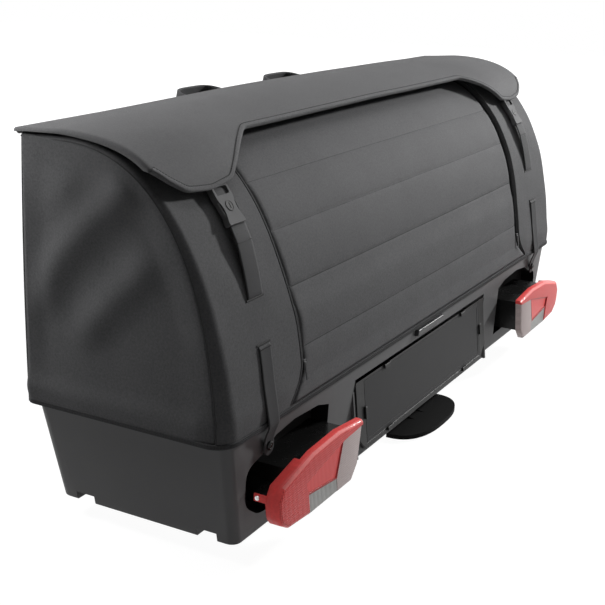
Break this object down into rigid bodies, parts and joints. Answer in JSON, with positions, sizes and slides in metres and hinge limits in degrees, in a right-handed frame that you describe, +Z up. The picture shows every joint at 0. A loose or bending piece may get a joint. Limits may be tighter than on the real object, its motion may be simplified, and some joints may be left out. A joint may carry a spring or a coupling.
{
  "type": "tow-ball cargo carrier",
  "caption": "Soft-sided cargo carrier for a tow ball: moulded tub, fabric cover with lid, buckles and zips, rear lights, plate holder and tilting coupling.",
  "frame": {"origin": "middle of the footprint's bounding box, on the floor under the feet", "axes": "+X across the car, +Y towards the car, +Z up; the number plate faces -Y"},
  "size_m": [1.39, 0.48, 0.6183],
  "materials": {
    "shell": "matte, finely grained moulded plastic",
    "trim": "satin black moulded plastic",
    "rubber": "matt black rubber",
    "frame": "black powder coat",
    "cast": "dark painted casting",
    "tube": "mill finish",
    "zinc": "zinc plated",
    "cover_side": "woven grey coated fabric",
    "cover_rear": "woven grey padded fabric",
    "cover_lid": "woven grey fabric over a stiff sheet",
    "zip_tape": "dark coil zip",
    "zip_metal": "bare metal",
    "webbing": "woven dark webbing",
    "buckle": "glossy dark plastic",
    "lock": "dark satin barrel with a key slot",
    "red_lens": "clear glossy red lens",
    "clear_lens": "clear glossy lens over a pale reflector",
    "reflector": "red prismatic reflector",
    "board": "circuit board",
    "plate": "dark painted sheet, bare"
  },
  "bodies": {
    "base": {"tub": "shell", "tub_floor": "shell", "tub_bolts": "zinc", "chassis_feet": "rubber", "cross_tube_front": "tube", "cross_tube_rear": "tube", "tube_caps": "trim", "centre_beam": "frame", "tilt_pin": "zinc", "pedal_pin": "zinc", "pedal_spring": "zinc", "front_wall": "cover_side", "end_panel_left": "cover_side", "end_panel_right": "cover_side", "side_strip_left": "cover_rear", "side_strip_right": "cover_rear", "rear_panel": "cover_rear", "zip_left": "zip_tape", "zip_right": "zip_tape", "end_hoop_left": "tube", "end_hoop_right": "tube", "top_rail": "tube", "hinge_rod": "trim", "tongue_left": "buckle", "tongue_right": "buckle", "upper_straps": "webbing", "lower_straps": "webbing", "strap_rivets": "trim", "light_housing_left": "trim", "light_housing_right": "trim", "light_red_left": "red_lens", "light_red_right": "red_lens", "light_clear_left": "clear_lens", "light_clear_right": "clear_lens", "light_reflectors": "reflector", "led_boards": "board", "plate_holder": "trim", "number_plate": "plate", "plate_clips": "trim", "badge": "trim", "handle_left": "webbing", "handle_right": "webbing", "cable_gland": "rubber"},
    "lid": {"lid": "cover_lid", "lid_webbing": "webbing", "buckle_left": "buckle", "buckle_right": "buckle"},
    "lock_left": {"lock_left": "lock"},
    "lock_right": {"lock_right": "lock"},
    "coupling": {"coupling_arm": "frame", "coupling_housing": "cast", "ball_seat": "zinc", "lever_pin": "zinc"},
    "lever": {"clamp_lever": "cast", "lever_grip": "rubber"},
    "jaw": {"clamp_jaw": "zinc"},
    "pedal": {"pedal": "trim"},
    "release_rod": {"release_rod": "zinc"},
    "zip_slider_left": {"zip_slider_left": "zip_metal"},
    "zip_slider_right": {"zip_slider_right": "zip_metal"}
  },
  "joints": [
    {"name": "lid_hinge", "type": "hinge", "parent": "base", "child": "lid", "pos_m": [0, 0.15147, 0.606], "axis": [-1, 0, 0], "range_deg": [0, 110]},
    {"name": "lock_turn_left", "type": "hinge", "parent": "lid", "child": "lock_left", "pos_m": [-0.577, -0.11066, 0.506], "axis": [0, -0.8281, 0.5606], "range_deg": [0, 90]},
    {"name": "lock_turn_right", "type": "hinge", "parent": "lid", "child": "lock_right", "pos_m": [0.577, -0.11066, 0.506], "axis": [0, -0.8281, 0.5606], "range_deg": [0, 90]},
    {"name": "coupling_tilt", "type": "hinge", "parent": "base", "child": "coupling", "pos_m": [0, 0.05047, 0.0145], "axis": [-1, 0, 0], "range_deg": [0, 40]},
    {"name": "lever_open", "type": "hinge", "parent": "coupling", "child": "lever", "pos_m": [0, 0.17847, 0.133], "axis": [1, 0, 0], "range_deg": [0, 85]},
    {"name": "jaw_slide", "type": "slide", "parent": "coupling", "child": "jaw", "axis": [0, 1, 0], "range_m": [0, 0.0063]},
    {"name": "pedal_press", "type": "hinge", "parent": "base", "child": "pedal", "pos_m": [0, -0.09553, 0.013], "axis": [1, 0, 0], "range_deg": [0, 10], "stiffness_Nm_per_rad": 4, "springref_deg": -20.05},
    {"name": "rod_pull", "type": "slide", "parent": "base", "child": "release_rod", "axis": [0, -1, 0], "range_m": [0, 0.0027]},
    {"name": "zip_slide_left", "type": "slide", "parent": "base", "child": "zip_slider_left", "axis": [0, 0.1408, 0.99], "range_m": [0, 0.06]},
    {"name": "zip_slide_right", "type": "slide", "parent": "base", "child": "zip_slider_right", "axis": [0, 0.1408, 0.99], "range_m": [0, 0.06]}
  ],
  "couplings": [
    {"joint": "jaw_slide", "follows": "lever_open", "m_per_rad": 0.004044},
    {"joint": "rod_pull", "follows": "pedal_press", "m_per_rad": 0.015}
  ]
}
